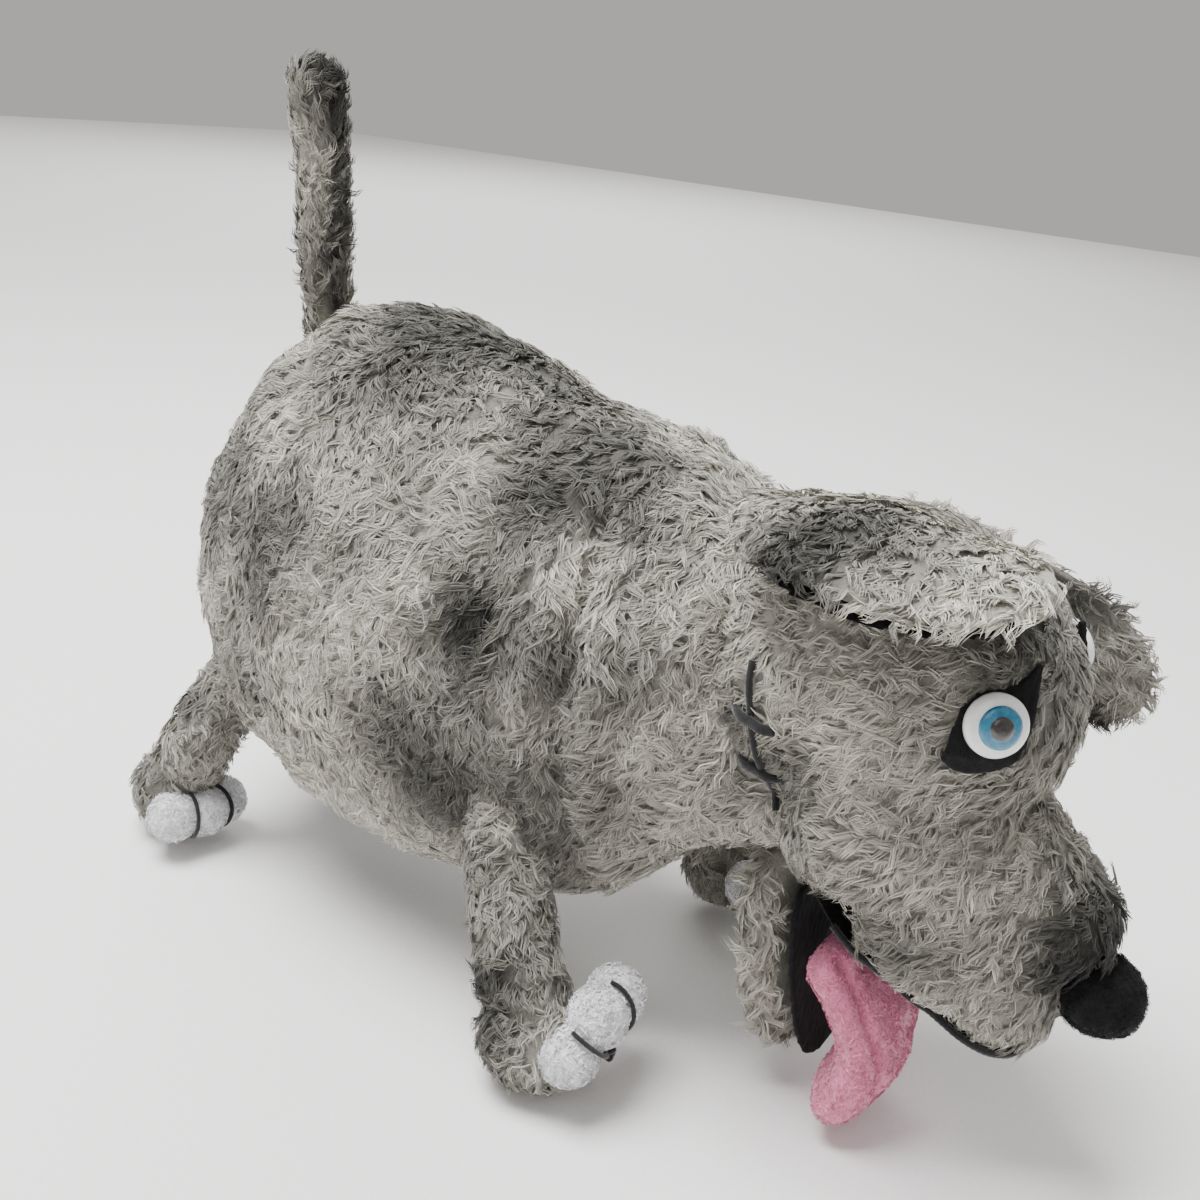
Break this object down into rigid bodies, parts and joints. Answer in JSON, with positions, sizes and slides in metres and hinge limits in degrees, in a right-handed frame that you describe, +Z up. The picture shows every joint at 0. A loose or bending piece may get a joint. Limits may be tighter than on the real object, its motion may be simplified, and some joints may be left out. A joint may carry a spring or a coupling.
{
  "type": "hand puppet",
  "caption": "Plush dog hand puppet in mottled grey pile, standing on stuffed legs, with a working mouth, tongue, floppy ears and upright tail.",
  "frame": {"origin": "on the ground under the middle of the puppet's outline, where its paws stand", "axes": "+Z up, -Y towards the nose and +Y towards the rump, -X the dog's right side"},
  "size_m": [0.115, 0.267, 0.2097],
  "materials": {
    "plush": "short crushed pile in warm grey with darker mottling",
    "lining": "matt woven lining",
    "stuffing": "matt",
    "black_felt": "matt",
    "black_yarn": "matt twisted yarn",
    "white_fleece": "matt short fleece",
    "pink_fleece": "matt short fleece",
    "eye_plastic": "glossy",
    "washer_plastic": "matt"
  },
  "bodies": {
    "body": {"body_shell": "plush", "hand_lining": "lining", "hem_band": "lining"},
    "neck": {"neck_sleeve": "plush"},
    "head": {"head_shell": "plush", "head_foam": "stuffing", "upper_mouth_felt": "black_felt", "lip_cord": "black_yarn", "nose": "black_felt", "eye_right": "eye_plastic", "eye_washer_right": "washer_plastic", "eye_patch_right": "black_felt", "cheek_stitches_right": "black_yarn", "eye_left": "eye_plastic", "eye_washer_left": "washer_plastic", "eye_patch_left": "black_felt", "cheek_stitches_left": "black_yarn"},
    "jaw": {"lower_jaw": "plush", "lower_mouth_felt": "black_felt"},
    "tongue_flap": {"tongue": "pink_fleece"},
    "right_ear": {"ear_right": "plush", "ear_lining_right": "black_felt"},
    "left_ear": {"ear_left": "plush", "ear_lining_left": "black_felt"},
    "tail_roll": {"tail": "plush"},
    "front_right_leg": {"front_leg_right": "plush", "front_toes_right": "white_fleece", "front_toe_thread_right_outer": "black_yarn", "front_toe_thread_right_inner": "black_yarn"},
    "front_left_leg": {"front_leg_left": "plush", "front_toes_left": "white_fleece", "front_toe_thread_left_outer": "black_yarn", "front_toe_thread_left_inner": "black_yarn"},
    "rear_right_leg": {"rear_leg_right": "plush", "rear_toes_right": "white_fleece", "rear_toe_thread_right_outer": "black_yarn", "rear_toe_thread_right_inner": "black_yarn"},
    "rear_left_leg": {"rear_leg_left": "plush", "rear_toes_left": "white_fleece", "rear_toe_thread_left_outer": "black_yarn", "rear_toe_thread_left_inner": "black_yarn"}
  },
  "joints": [
    {"name": "neck_turn", "type": "hinge", "parent": "body", "child": "neck", "pos_m": [0.00239, -0.0005, 0.092], "axis": [0, 0, 1], "range_deg": [-12, 12]},
    {"name": "head_nod", "type": "hinge", "parent": "neck", "child": "head", "pos_m": [0.00239, -0.0795, 0.104], "axis": [1, 0, 0], "range_deg": [-10, 4]},
    {"name": "jaw_hinge", "type": "hinge", "parent": "head", "child": "jaw", "pos_m": [0.00239, -0.055, 0.057], "axis": [1, 0, 0], "range_deg": [-14, 6]},
    {"name": "tongue_hinge", "type": "hinge", "parent": "jaw", "child": "tongue_flap", "pos_m": [-0.00261, -0.072, 0.042], "axis": [1, 0, 0], "range_deg": [-6, 8]},
    {"name": "ear_right_hinge", "type": "hinge", "parent": "head", "child": "right_ear", "pos_m": [-0.00761, -0.0715, 0.143], "axis": [0, 1, 0], "range_deg": [0, 60]},
    {"name": "ear_left_hinge", "type": "hinge", "parent": "head", "child": "left_ear", "pos_m": [0.02939, -0.0645, 0.134], "axis": [0, -1, 0], "range_deg": [0, 60]},
    {"name": "tail_wag", "type": "hinge", "parent": "body", "child": "tail_roll", "pos_m": [0.00239, 0.0945, 0.148], "axis": [0, 1, 0], "range_deg": [-30, 30]},
    {"name": "front_right_hip", "type": "hinge", "parent": "body", "child": "front_right_leg", "pos_m": [-0.03561, 0.0035, 0.06], "axis": [1, 0, 0], "range_deg": [-4, 18]},
    {"name": "front_left_hip", "type": "hinge", "parent": "body", "child": "front_left_leg", "pos_m": [0.03839, -0.0005, 0.06], "axis": [1, 0, 0], "range_deg": [-4, 18]},
    {"name": "rear_right_hip", "type": "hinge", "parent": "body", "child": "rear_right_leg", "pos_m": [-0.02661, 0.0975, 0.056], "axis": [1, 0, 0], "range_deg": [-18, 18]},
    {"name": "rear_left_hip", "type": "hinge", "parent": "body", "child": "rear_left_leg", "pos_m": [0.03139, 0.0975, 0.056], "axis": [1, 0, 0], "range_deg": [-18, 18]}
  ]
}
